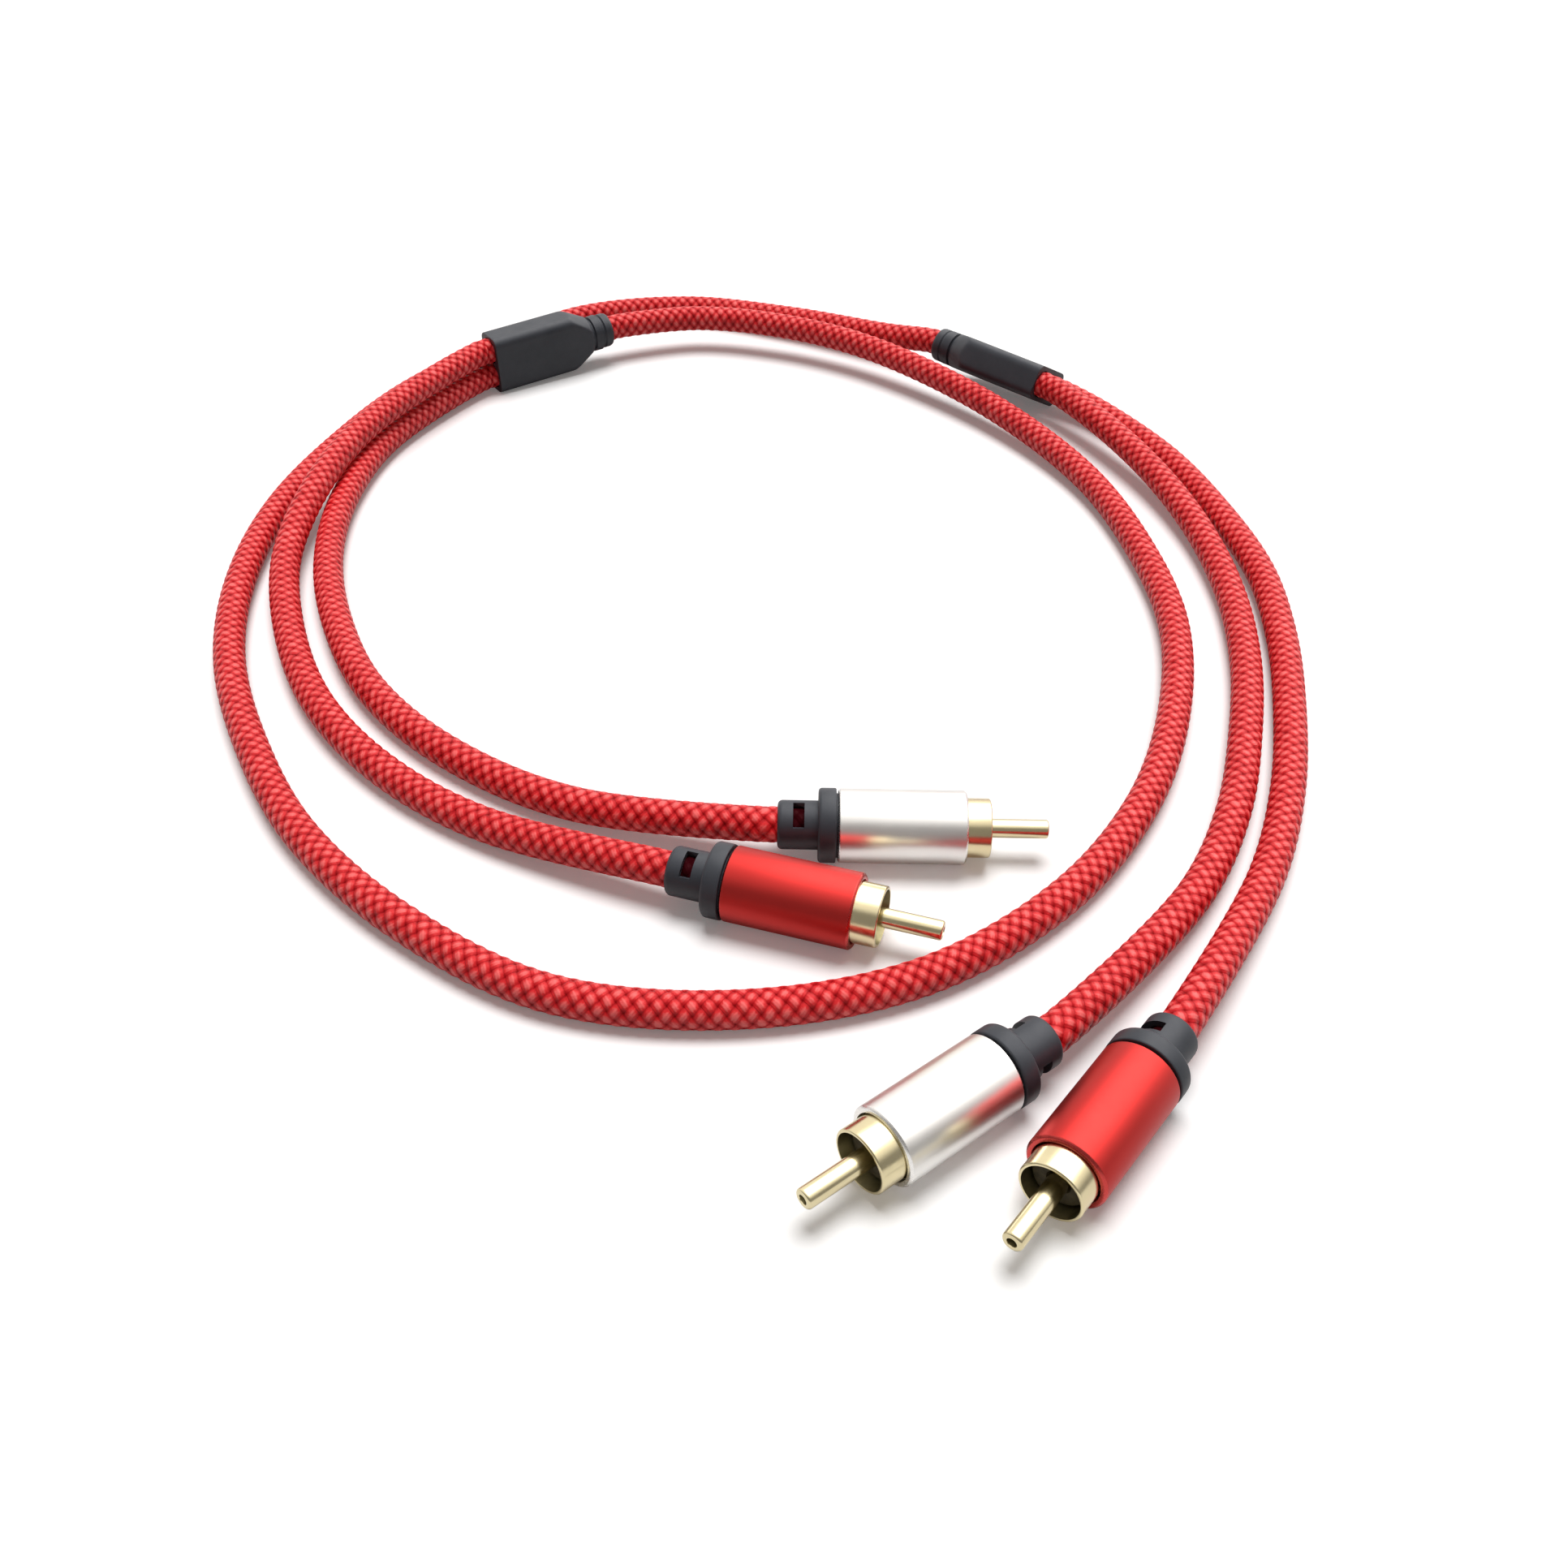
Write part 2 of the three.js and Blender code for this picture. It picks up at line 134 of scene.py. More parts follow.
def wrapped_skin(name, around, along, shape, weld=1e-7):
    """A grid rolled into a tube: shape gives points, UVs and which of them lie in the shade."""
    mesh = bpy.data.meshes.new(name)
    bm = bmesh.new()
    bmesh.ops.create_grid(bm, x_segments=around, y_segments=along, size=1)
    bm.to_mesh(mesh)
    flat = np.zeros(len(mesh.vertices) * 3)
    mesh.vertices.foreach_get("co", flat)
    turn, reach = (flat.reshape(-1, 3)[:, :2].T + 1) / 2
    points, uv, in_shade = shape(turn, reach)
    mesh.vertices.foreach_set("co", points.astype(np.float32).ravel())
    shade = mesh.attributes.new("in_shade", "FLOAT", "POINT")
    shade.data.foreach_set("value", np.asarray(in_shade, np.float32))
    corner = np.zeros(len(mesh.loops), np.int32)
    mesh.loops.foreach_get("vertex_index", corner)
    layer = mesh.uv_layers.new(name="surface")
    layer.data.foreach_set("uv", uv[corner].astype(np.float32).ravel())
    bm.clear()
    bm.from_mesh(mesh)
    bmesh.ops.remove_doubles(bm, verts=bm.verts, dist=weld)
    return mesh, bm


def piece_from(name, bm, finishes, replaced, place=None, sharp=30, mesh=None):
    """Turns a finished bmesh into a smooth-shaded piece that stands for a CAD node."""
    if place is not None:
        bmesh.ops.transform(bm, matrix=place, verts=bm.verts)
    bmesh.ops.recalc_face_normals(bm, faces=bm.faces)
    if mesh is None:
        mesh = bpy.data.meshes.new(name)
    for finish in finishes:
        mesh.materials.append(finish.material)
    bm.to_mesh(mesh)
    bm.free()
    mesh.shade_smooth()
    mesh.set_sharp_from_angle(angle=math.radians(sharp))
    piece = bpy.data.objects.new(name, mesh)
    bpy.context.collection.objects.link(piece)
    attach(piece, "root")
    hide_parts(replaced)
    return piece


class Finish:
    """A material with its surface shader, and a short way to add nodes in front of it."""

    def __init__(self, name, colour, roughness, metallic=0.0, specular=0.5):
        self.material = bpy.data.materials.new(name)
        self.material.use_nodes = True
        self.tree = self.material.node_tree
        self.surface = self.tree.nodes["Principled BSDF"]
        self.surface.inputs["Base Color"].default_value = (*colour, 1)
        self.surface.inputs["Roughness"].default_value = roughness
        self.surface.inputs["Metallic"].default_value = metallic
        self.surface.inputs["Specular IOR Level"].default_value = specular

    def node(self, kind, **settings):
        made = self.tree.nodes.new(kind)
        for key, value in settings.items():
            setattr(made, key, value)
        return made

    def link(self, source, target):
        self.tree.links.new(source, target)

    def drive(self, socket, value):
        """Lets what other nodes work out set one of the surface's sockets."""
        self.link(value, self.surface.inputs[socket])

    def maths(self, operation, first, second=0.0, third=0.0):
        made = self.node("ShaderNodeMath", operation=operation)
        for socket, value in zip(made.inputs, (first, second, third)):
            if isinstance(value, (int, float)):
                socket.default_value = value
            else:
                self.link(value, socket)
        return made.outputs[0]

    def ramp(self, value, *stops):
        made = self.node("ShaderNodeValToRGB")
        made.color_ramp.elements[0].position = stops[0][0]
        made.color_ramp.elements[0].color = (*stops[0][1], 1)
        made.color_ramp.elements[1].position = stops[-1][0]
        made.color_ramp.elements[1].color = (*stops[-1][1], 1)
        for place, colour in stops[1:-1]:
            made.color_ramp.elements.new(place).color = (*colour, 1)
        self.link(value, made.inputs[0])
        return made.outputs["Color"]

    def mixed(self, share, first, second):
        made = self.node("ShaderNodeMix", data_type="RGBA")
        self.link(share, made.inputs["Factor"])
        for socket, value in ((made.inputs["A"], first), (made.inputs["B"], second)):
            if isinstance(value, tuple):
                socket.default_value = (*value, 1)
            else:
                self.link(value, socket)
        return made.outputs["Result"]

    def grain(self, scale, detail=3.0, roughness=0.5):
        place = self.node("ShaderNodeTexCoord")
        noise = self.node("ShaderNodeTexNoise")
        noise.inputs["Scale"].default_value = scale
        noise.inputs["Detail"].default_value = detail
        noise.inputs["Roughness"].default_value = roughness
        self.link(place.outputs["Object"], noise.inputs["Vector"])
        return noise.outputs["Fac"]

    def mottle(self, grain, low, high):
        """Drifts the base colour along a grain, between two stops of a place and a colour."""
        self.drive("Base Color", self.ramp(grain, low, high))

    def scuff(self, grain, spread, least):
        """Varies the roughness along a grain, upwards from its least value."""
        self.drive("Roughness", self.maths("MULTIPLY_ADD", grain, spread, least))

    def bump(self, height, strength, distance):
        made = self.node("ShaderNodeBump")
        made.inputs["Strength"].default_value = strength
        made.inputs["Distance"].default_value = distance
        self.link(height, made.inputs["Height"])
        self.drive("Normal", made.outputs["Normal"])


def braid_finish():
    """Red yarn with a painted highlight on the crown of each strand and painted shade in the holes
    of the braid.
    """
    braid = Finish("red_braid", (0.55, 0.02, 0.024), 0.42)
    split = braid.node("ShaderNodeSeparateXYZ")
    braid.link(braid.node("ShaderNodeUVMap", uv_map="surface").outputs["UV"], split.inputs[0])
    right_hand, left_hand = split.outputs["X"], split.outputs["Y"]
    cell = braid.maths("ADD", braid.maths("FLOOR", right_hand), braid.maths("FLOOR", left_hand))
    right_on_top = braid.maths("LESS_THAN", braid.maths("FLOORED_MODULO", cell, 2), 0.5)

    def on_top(right, left):
        made = braid.node("ShaderNodeMix")
        braid.link(right_on_top, made.inputs["Factor"])
        braid.link(left, made.inputs["A"])
        braid.link(right, made.inputs["B"])
        return made.outputs["Result"]

    def wave(value, turns):
        return braid.maths("SINE", braid.maths("MULTIPLY", value, 2 * math.pi * turns))

    def swell(value):
        """Rises from one edge of a strand to its middle and falls to the other."""
        return braid.maths("POWER", braid.maths("ABSOLUTE", wave(value, 0.5)), strand_fullness)

    across, along = on_top(right_hand, left_hand), on_top(left_hand, right_hand)
    width, length = swell(across), swell(along)
    ridge = braid.maths("MAXIMUM", width, braid.maths("MULTIPLY", length, 0.8))
    crown = braid.maths("MULTIPLY", braid.maths("MULTIPLY_ADD", width, length, ridge), 0.5)

    yarns = wave(across, yarns_per_strand)
    fuzz, uneven = braid.grain(scale=2600, detail=2.0), braid.grain(scale=330, detail=1.0)
    yarn_tone, fuzz_tone, uneven_tone = 0.04, 0.3, 0.5
    # The tone runs from painted shade in the holes to a painted highlight on each crown, with the
    # yarns, fuzz and unevenness laid over it.
    painted_light_and_grain = braid.maths("MULTIPLY_ADD", yarns, yarn_tone, crown)
    for grain, spread in ((fuzz, fuzz_tone), (uneven, uneven_tone)):
        painted_light_and_grain = braid.maths("ADD", painted_light_and_grain, braid.maths("MULTIPLY_ADD", grain, spread, -spread / 2))
    # The ramp paints light into the yarn: deep red painted shade in the holes, a pale pink painted
    # highlight on each crown.
    yarn_colour_and_painted_light = braid.ramp(
        painted_light_and_grain,
        (0.12, (0.28, 0.003, 0.005)),
        (0.45, (0.54, 0.008, 0.013)),
        (0.75, (0.78, 0.026, 0.03)),
        (0.98, (0.98, 0.15, 0.145)),
    )
    # Painted shade: where the cord runs hidden inside a bore, its colour is painted near black and
    # its gloss is taken away.
    shaded = braid.node("ShaderNodeAttribute", attribute_name="in_shade").outputs["Fac"]
    colour_in_shade = (0.035, 0.002, 0.004)
    braid.drive("Base Color", braid.mixed(shaded, yarn_colour_and_painted_light, colour_in_shade))

    gloss, gloss_lost_in_shade = 0.43, 0.4
    gloss_here = braid.maths("MULTIPLY_ADD", shaded, -gloss_lost_in_shade, gloss)
    braid.drive("Specular IOR Level", braid.maths("MULTIPLY", crown, gloss_here))

    fuzz_height, yarn_height = 0.12, 0.05
    height = braid.maths("MULTIPLY_ADD", fuzz, fuzz_height, crown)
    height = braid.maths("MULTIPLY_ADD", yarns, yarn_height, height)
    braid.bump(height, strength=0.8, distance=0.3 * mm)
    return braid


def braided_cord(name, points, replaced, hidden):
    """A tube whose skin rises and falls as the strands of the braid cross."""
    path, stations = smooth_route(points, strand_pitch / rings_per_pitch)
    tangent = np.gradient(path, axis=0)
    tangent /= np.linalg.norm(tangent, axis=1)[:, None]
    normal = np.zeros_like(path)
    side = np.cross(tangent[0], (0, 0, 1))
    for i, along in enumerate(tangent):
        side = side - along * side.dot(along)
        side /= np.linalg.norm(side)
        normal[i] = side
    across = np.cross(tangent, normal)

    def crossing(turn, ring):
        run = stations[ring] / strand_pitch
        strand = np.stack([strands_each_way * turn + run, strands_each_way * turn - run], 1)
        rise = np.abs(np.sin(np.pi * strand)) ** strand_fullness
        return strand, 0.5 * (rise.max(axis=1) + rise.prod(axis=1))

    def shape(turn, reach):
        ring = np.rint(reach * (len(path) - 1)).astype(int)
        strand, crown = crossing(turn, ring)
        radius = cord_diameter / 2 - strand_relief * (1 - crown)
        angle = 2 * math.pi * turn
        out = normal[ring] * np.cos(angle)[:, None] + across[ring] * np.sin(angle)[:, None]
        first, last = hidden[0], stations[-1] - hidden[1]
        in_shade = (stations[ring] < first) | (stations[ring] > last)
        return path[ring] + out * radius[:, None], strand, in_shade

    columns = strands_each_way * columns_per_strand
    mesh, bm = wrapped_skin(name, columns, len(path) - 1, shape)
    ends = [edge for edge in bm.edges if edge.is_boundary]
    bmesh.ops.holes_fill(bm, edges=ends, sides=0)
    cord = piece_from(name, bm, [braid], replaced, sharp=180, mesh=mesh)


def collar_ends(name):
    return [
        splitter_point(name, splitter_length - cord_in_splitter),
        splitter_point(name, splitter_length),
        splitter_point(name, splitter_length + cord_lead),
    ]


braid = braid_finish()
trunk_points = (
    collar_ends("left")
    + [Vector(point) * mm for point in trunk_route]
    + collar_ends("right")[::-1]
)
shaded_in_splitter = cord_in_splitter - 0.3 * mm
braided_cord(
    "trunk_braid", trunk_points, "trunk_cord",
    hidden=(shaded_in_splitter, shaded_in_splitter),
)


# Tail cords
# Four short lengths of the same braided cord. Each leaves the flat end of a splitter and ends
# inside the strain relief of its plug; the left pair starts out stacked one above the other.
cord_in_plug = 4 * mm
sleeve_back = -9.8 * mm
shaded_in_plug = cord_in_plug - sleeve_back - 0.8 * mm
plug_axis_height = 6.3
plug_places = {
    "rear_silver": dict(at=(12.1, -56.7, plug_axis_height), heading=-1),
    "rear_red": dict(at=(-5.5, -70.9, plug_axis_height), heading=-17.6),
    "front_silver": dict(at=(33.7, -109.9, plug_axis_height), heading=-141.3),
    "front_red": dict(at=(54.4, -110.3, plug_axis_height), heading=-127.3),
}
tails = {
    "rear_red": ("left", 1, 0.257, [
        (-91.6, 83.5, 9.6), (-98.6, 58.5, 8.4), (-101.1, 32.5, 4.8), (-95.6, 7.5, 3.4),
        (-84.1, -18.5, 3.2), (-68.1, -38.5, 3.2), (-48.1, -53.5, 3.5),
    ]),
    "rear_silver": ("left", -1, 0.256, [
        (-89.6, 86.5, 3.3), (-94.6, 60.5, 3.2), (-93.1, 33.5, 3.2), (-86.1, 8.5, 3.2),
        (-74.1, -15.5, 3.2), (-56.1, -34.5, 3.2), (-33.1, -48.5, 3.8),
    ]),
    "front_red": ("right", -1, 0.252, [
        (79.9, 98.5, 4.2), (91.9, 77.5, 3.5), (98.9, 54.5, 3.2), (102.9, 29.5, 3.2),
        (101.9, 5.5, 3.2), (97.9, -18.5, 3.2), (91.9, -42.5, 3.2), (82.9, -65.5, 3.5),
    ]),
    "front_silver": ("right", 1, 0.253, [
        (76.9, 89.5, 7.3), (86.9, 67.5, 5.5), (92.9, 44.5, 4.1), (94.9, 20.5, 3.3),
        (92.9, -3.5, 3.2), (87.9, -26.5, 3.2), (80.9, -49, 3.2), (69.9, -70.5, 3.6),
    ]),
}
for plug, (splitter, side, tail_length, route) in tails.items():
    place = placed(**plug_places[plug])
    tail_points = [
        splitter_point(splitter, cord_in_splitter, side),
        splitter_point(splitter, 0, side),
        splitter_point(splitter, -cord_lead, side),
        *[Vector(point) * mm for point in route],
        place @ Vector((sleeve_back - cord_lead, 0, 0)),
        place @ Vector((sleeve_back, 0, 0)),
        place @ Vector((cord_in_plug, 0, 0)),
    ]
    braided_cord(
        f"{plug}_tail_braid", tail_points, f"{plug}_tail",
        hidden=(shaded_in_splitter, shaded_in_plug),
    )


# Splitters
# Soft black mouldings where one cord becomes two. Each is a flat block with rounded sides that
# tapers to a round collar, whose two grooves let it bend with the cord.
block_thickness = 8.4 * mm
block_width = 14.2 * mm
block_corner = 2 * mm
shoulder_blend = 0.5 * mm
splitter_bore = 3.24 * mm
moulding_facets = 96

# Station along the moulding and greatest radius there, in mm: the eased flat end, the block,
# its shoulder, and the collar with its two grooves and rounded lip.
moulding_envelope = [
    (0, 7.6), (0.05, 7.9), (0.5, 8.3), (20, 8.3), (22, 7.2), (26.6, 4.75), (27, 4.2),
    (27.2, 3.85), (27.55, 3.85), (27.75, 4.35), (29.8, 4.4), (30, 3.87), (30.45, 3.85),
    (30.65, 4.2), (32.1, 4.2), (32.6, 4), (32.8, 3.6),
]
# First station, last station and number of the rings of each stretch, closest at the grooves.
moulding_rings = [(0, 0.6, 7), (0.6, 19, 24), (19, 26.6, 30), (26.6, 32.8, 60)]

rubber = Finish("black_rubber", (0.034, 0.038, 0.047), 0.5, specular=0.32)
rubber.mottle(
    rubber.grain(scale=160, detail=4.0, roughness=0.6),
    (0.3, (0.029, 0.033, 0.041)),
    (0.7, (0.043, 0.047, 0.057)),
)
rubber.scuff(rubber.grain(scale=420), spread=0.2, least=0.36)
rubber.bump(rubber.grain(scale=4200), strength=0.25, distance=0.03 * mm)


def block_section(angle, least=1e-9):
    """Distance from the axis to a rounded oblong, thin along Y and wide along Z."""
    thin, wide = block_thickness / 2 - block_corner, block_width / 2 - block_corner
    y, z = np.abs(np.cos(angle)), np.abs(np.sin(angle))
    to_thin_side = (thin + block_corner) / np.maximum(y, least)
    to_wide_side = (wide + block_corner) / np.maximum(z, least)
    reach = np.minimum(to_thin_side, to_wide_side)
    near = thin * y + wide * z
    corner = near + np.sqrt(np.maximum(near**2 - thin**2 - wide**2 + block_corner**2, 0))
    in_corner = (reach * y > thin) & (reach * z > wide)
    return np.where(in_corner, np.minimum(reach, corner), reach)


def open_end(bm, at_collar):
    """The open edges at the collar or at the flat end of a moulding."""
    middle = splitter_length / 2
    return [e for e in bm.edges if e.is_boundary and (e.verts[0].co.x > middle) == at_collar]


def bore_mouth(bm, station, height, facets):
    """The edges of a new ring where a bore opens in the end wall."""
    upright = Matrix.Translation((station, 0, height)) @ Matrix.Rotation(math.pi / 2, 4, "Y")
    rim = bmesh.ops.create_circle(bm, segments=facets, radius=splitter_bore, matrix=upright)
    return list(dict.fromkeys(edge for vert in rim["verts"] for edge in vert.link_edges))


def sunk_bore(bm, mouth, depth):
    """Draws open edges along the axis into bores and closes their floors."""
    bore = bmesh.ops.extrude_edge_only(bm, edges=mouth)["geom"]
    far_ring = [part for part in bore if isinstance(part, bmesh.types.BMVert)]
    bmesh.ops.translate(bm, verts=far_ring, vec=(depth, 0, 0))
    floor_edges = [e for e in bore if isinstance(e, bmesh.types.BMEdge) and e.is_boundary]
    bmesh.ops.holes_fill(bm, edges=floor_edges, sides=0)


def moulding(name, place):
    stations = np.concatenate([np.linspace(*stretch) for stretch in moulding_rings])
    rows = np.unique(stations) * mm
    stops, greatest = np.array(moulding_envelope).T * mm

    def shape(turn, reach):
        station = rows[np.rint(reach * (len(rows) - 1)).astype(int)]
        angle = 2 * math.pi * turn
        block, limit = block_section(angle), np.interp(station, stops, greatest)
        mean, gap = (block + limit) / 2, (block - limit) / 2
        radius = mean - np.sqrt(gap**2 + (shoulder_blend / 4) ** 2)
        points = np.stack([station, radius * np.cos(angle), radius * np.sin(angle)], 1)
        return points, np.stack([turn, reach], 1), np.zeros_like(turn)

    mesh, bm = wrapped_skin(name, moulding_facets, len(rows) - 1, shape)
    flat_end, collar_end = open_end(bm, at_collar=False), open_end(bm, at_collar=True)
    for height in (-tail_pitch / 2, tail_pitch / 2):
        flat_end += bore_mouth(bm, 0, height, moulding_facets // 2)
    bmesh.ops.triangle_fill(bm, edges=flat_end, use_beauty=True, use_dissolve=False)
    collar_end += bore_mouth(bm, splitter_length, 0, moulding_facets)
    bmesh.ops.bridge_loops(bm, edges=collar_end)
    sunk_bore(bm, open_end(bm, at_collar=False), cord_in_splitter)
    sunk_bore(bm, open_end(bm, at_collar=True), -cord_in_splitter)
    piece_from(
        f"{name}_moulding", bm, [rubber], f"{name}_splitter", place,
        sharp=40, mesh=mesh,
    )


for splitter, place in splitter_places.items():
    moulding(splitter, placed(**place))


# Strain reliefs
# The black rubber sleeve and flange behind each barrel. The cord passes through it, and two
# slots across from each other let the sleeve bend; its spigot is pushed into the barrel.
plug_facets = 72
sleeve_radius, sleeve_bore, sleeve_rounding = 4.15 * mm, 3.22 * mm, 0.8 * mm
flange_back, flange_radius = -3 * mm, 6.3 * mm
flange_rounding, flange_front_rounding = 0.6 * mm, 0.25 * mm
spigot_radius, spigot_front = 5.4 * mm, 5 * mm
slot_from, slot_to, slot_half_angle = -7.2 * mm, -5.3 * mm, 37.5
slot_turns = {"rear_silver": -22, "rear_red": -22, "front_silver": -61, "front_red": -42}


def turned(profile, facets=plug_facets, edge=0.0, arc=2 * math.pi, weld=1e-8):
    """Spins a closed outline of (station, radius) points about the X axis and eases its rims."""
    bm = bmesh.new()
    outline = [bm.verts.new((station, 0, radius)) for station, radius in profile]
    sides = [bm.edges.new(pair) for pair in zip(outline, outline[1:] + outline[:1])]
    full = arc == 2 * math.pi
    geometry = outline + sides if full else [bm.faces.new(outline)]
    bmesh.ops.spin(
        bm, geom=geometry, axis=(1, 0, 0), cent=(0, 0, 0), angle=arc, steps=facets, use_merge=full
    )
    bmesh.ops.remove_doubles(bm, verts=bm.verts, dist=weld)
    bmesh.ops.recalc_face_normals(bm, faces=bm.faces)
    if edge:
        least_angle = math.radians(28)
        rims = [e for e in bm.edges if e.is_manifold and e.calc_face_angle(0) > least_angle]
        bmesh.ops.bevel(
            bm, geom=rims, offset=edge, offset_type="OFFSET", segments=2, profile=0.5,
            affect="EDGES", clamp_overlap=True, material=-1,
        )
    return bm


def rounding(station, radius, size, first, last, steps=5):
    """Points of an outline on an arc, from one angle to another in degrees."""
    angles = [math.radians(first + (last - first) * i / steps) for i in range(steps + 1)]
    return [(station + size * math.sin(a), radius + size * math.cos(a)) for a in angles]


def cut_slots(bm):
    """Opens the two slots in a turned sleeve and walls them between its skin and its bore."""
    slots = []
    for face in bm.faces:
        middle = face.calc_center_median()
        angle = math.degrees(math.atan2(middle.y, abs(middle.z)))
        if slot_from < middle.x < slot_to and abs(angle) < slot_half_angle:
            slots.append(face)
    bmesh.ops.delete(bm, geom=slots, context="FACES_ONLY")
    bmesh.ops.delete(bm, geom=[e for e in bm.edges if e.is_wire], context="EDGES")
    bmesh.ops.delete(bm, geom=[v for v in bm.verts if not v.link_faces], context="VERTS")
    for above in (True, False):
        rims = [e for e in bm.edges if e.is_boundary and (e.verts[0].co.z > 0) == above]
        bmesh.ops.bridge_loops(bm, edges=rims)


for plug, place in plug_places.items():
    bm = turned([
        (sleeve_back, sleeve_bore),
        *rounding(
            sleeve_back + sleeve_rounding, sleeve_radius - sleeve_rounding, sleeve_rounding, -90, 0
        ),
        (slot_from, sleeve_radius),
        (slot_to, sleeve_radius),
        (flange_back, sleeve_radius),
        *rounding(
            flange_back + flange_rounding, flange_radius - flange_rounding, flange_rounding, -90, 0
        ),
        *rounding(
            -flange_front_rounding, flange_radius - flange_front_rounding, flange_front_rounding,
            0, 90, steps=3,
        ),
        (0, spigot_radius),
        (spigot_front, spigot_radius),
        (spigot_front, sleeve_bore),
        (slot_to, sleeve_bore),
        (slot_from, sleeve_bore),
    ])
    cut_slots(bm)
    turn = Matrix.Rotation(math.radians(-slot_turns[plug]), 4, "X")
    piece_from(
        f"{plug}_sleeve", bm, [rubber], f"{plug}_strain_relief",
        placed(**place) @ turn,
    )


# Barrels
# Thin turned aluminium tubes, brushed round and dyed red or left silver, with a narrow bright
# chamfer at both rims and a lip in front that holds the ground skirt.
shell_back, shell_front = 0.3 * mm, 21.7 * mm
shell_radius, shell_bore = 6.25 * mm, 5.7 * mm
chamfer_radius, chamfer_length = 5.9 * mm, 0.35 * mm
lip_bore, lip_length = 5.3 * mm, 1.2 * mm
metal_edge = 0.06 * mm


def barrel_finishes(name, colour, rim_colour, sheen):
    metal = Finish(name, colour, sheen, metallic=1.0)
    metal.scuff(metal.grain(scale=900, roughness=0.6), spread=0.08, least=sheen - 0.04)
    darker, lighter = [tuple(c * share for c in colour) for share in (0.96, 1.05)]
    metal.mottle(metal.grain(scale=60), (0.35, darker), (0.65, lighter))
    metal.bump(metal.grain(scale=5200, detail=2.0), strength=0.06, distance=0.01 * mm)
    rim = Finish(name + "_rim", rim_colour, 0.3, metallic=1.0)
    rim.scuff(rim.grain(scale=3000, detail=2.0), spread=0.15, least=0.2)
    return metal, rim


def mark_second(bm, belongs):
    """Gives a piece's second finish to the faces that a test of station and radius picks."""
    for face in bm.faces:
        middle = face.calc_center_median()
        face.material_index = int(belongs(middle.x, math.hypot(middle.y, middle.z)))


def on_rim(station, radius):
    reach = chamfer_length + 0.02 * mm
    return station < shell_back + reach or station > shell_front - reach


barrels = {
    "red": barrel_finishes("red_anodised", (0.46, 0.032, 0.029), (0.55, 0.06, 0.055), 0.44),
    "silver": barrel_finishes("silver_satin", (0.8, 0.79, 0.77), (0.84, 0.83, 0.81), 0.35),
}
for plug, place in plug_places.items():
    colour = plug.split("_")[1]
    bm = turned([
        (shell_back, shell_bore),
        (shell_back, chamfer_radius),
        (shell_back + chamfer_length, shell_radius),
        (shell_front - chamfer_length, shell_radius),
        (shell_front, chamfer_radius),
        (shell_front, lip_bore),
        (shell_front - lip_length, lip_bore),
        (shell_front - lip_length, shell_bore),
    ], edge=metal_edge)
    mark_second(bm, on_rim)
    piece_from(
        f"{plug}_barrel", bm, barrels[colour], f"{plug}_shell", placed(**place)
    )


# Ground skirts
# A gold-plated sleeve in front of the barrel that grips the socket's outer ring. Its collar is
# caught behind the barrel's lip, and a tab at the back is soldered to the cord's screen.
skirt_back, skirt_front = 17.2 * mm, 25.7 * mm
skirt_radius, skirt_bore = 5 * mm, 4.5 * mm
skirt_collar_front, skirt_collar_radius = 20.2 * mm, 5.4 * mm
skirt_floor_length, skirt_floor_bore = 1.2 * mm, 3.2 * mm
skirt_chamfer = 0.2 * mm
tab_length, tab_root, tab_thickness = 9 * mm, 0.6 * mm, 0.6 * mm
tab_arc, tab_facets = 44, 10

gold = Finish("gold_plate", (0.74, 0.65, 0.41), 0.18, metallic=1.0)
gold.mottle(gold.grain(scale=90), (0.35, (0.7, 0.61, 0.38)), (0.65, (0.77, 0.68, 0.43)))
gold.scuff(gold.grain(scale=700), spread=0.14, least=0.14)
gold.bump(gold.grain(scale=2500, detail=2.0), strength=0.08, distance=0.01 * mm)
# Painted shade: the inside wall of the skirt and the drilling at the pin's tip take a dark copy of
# the gold, for the shade in these hollows.
painted_shade_bore = Finish("bore_painted_shade", (0.26, 0.23, 0.13), 0.36, metallic=1.0)
painted_shade_bore.mottle(painted_shade_bore.grain(scale=500), (0.3, (0.2, 0.18, 0.1)), (0.7, (0.32, 0.28, 0.16)))


def in_skirt(station, radius):
    return radius < skirt_bore + 0.03 * mm and station > skirt_back + 1 * mm


def add_solder_tab(bm):
    tab_bm = turned([
        (skirt_back - tab_length, skirt_collar_radius - tab_thickness),
        (skirt_back - tab_length, skirt_collar_radius),
        (skirt_back + tab_root, skirt_collar_radius),
        (skirt_back + tab_root, skirt_collar_radius - tab_thickness),
    ], facets=tab_facets, arc=math.radians(tab_arc))
    centred = Matrix.Rotation(math.radians(-tab_arc / 2), 4, "X")
    bmesh.ops.transform(tab_bm, matrix=centred, verts=tab_bm.verts)
    tab_mesh = bpy.data.meshes.new("tab")
    tab_bm.to_mesh(tab_mesh)
    tab_bm.free()
    bm.from_mesh(tab_mesh)
    bpy.data.meshes.remove(tab_mesh)


for plug, place in plug_places.items():
    bm = turned([
        (skirt_back, skirt_floor_bore),
        (skirt_back, skirt_collar_radius),
        (skirt_collar_front, skirt_collar_radius),
        (skirt_collar_front, skirt_radius),
        (skirt_front - skirt_chamfer, skirt_radius),
        (skirt_front, skirt_radius - skirt_chamfer),
        (skirt_front, skirt_bore),
        (skirt_back + skirt_floor_length, skirt_bore),
        (skirt_back + skirt_floor_length, skirt_floor_bore),
    ], edge=metal_edge)
    mark_second(bm, in_skirt)
    add_solder_tab(bm)
    piece_from(
        f"{plug}_skirt", bm, [gold, painted_shade_bore], f"{plug}_ground_skirt",
        placed(**place),
    )


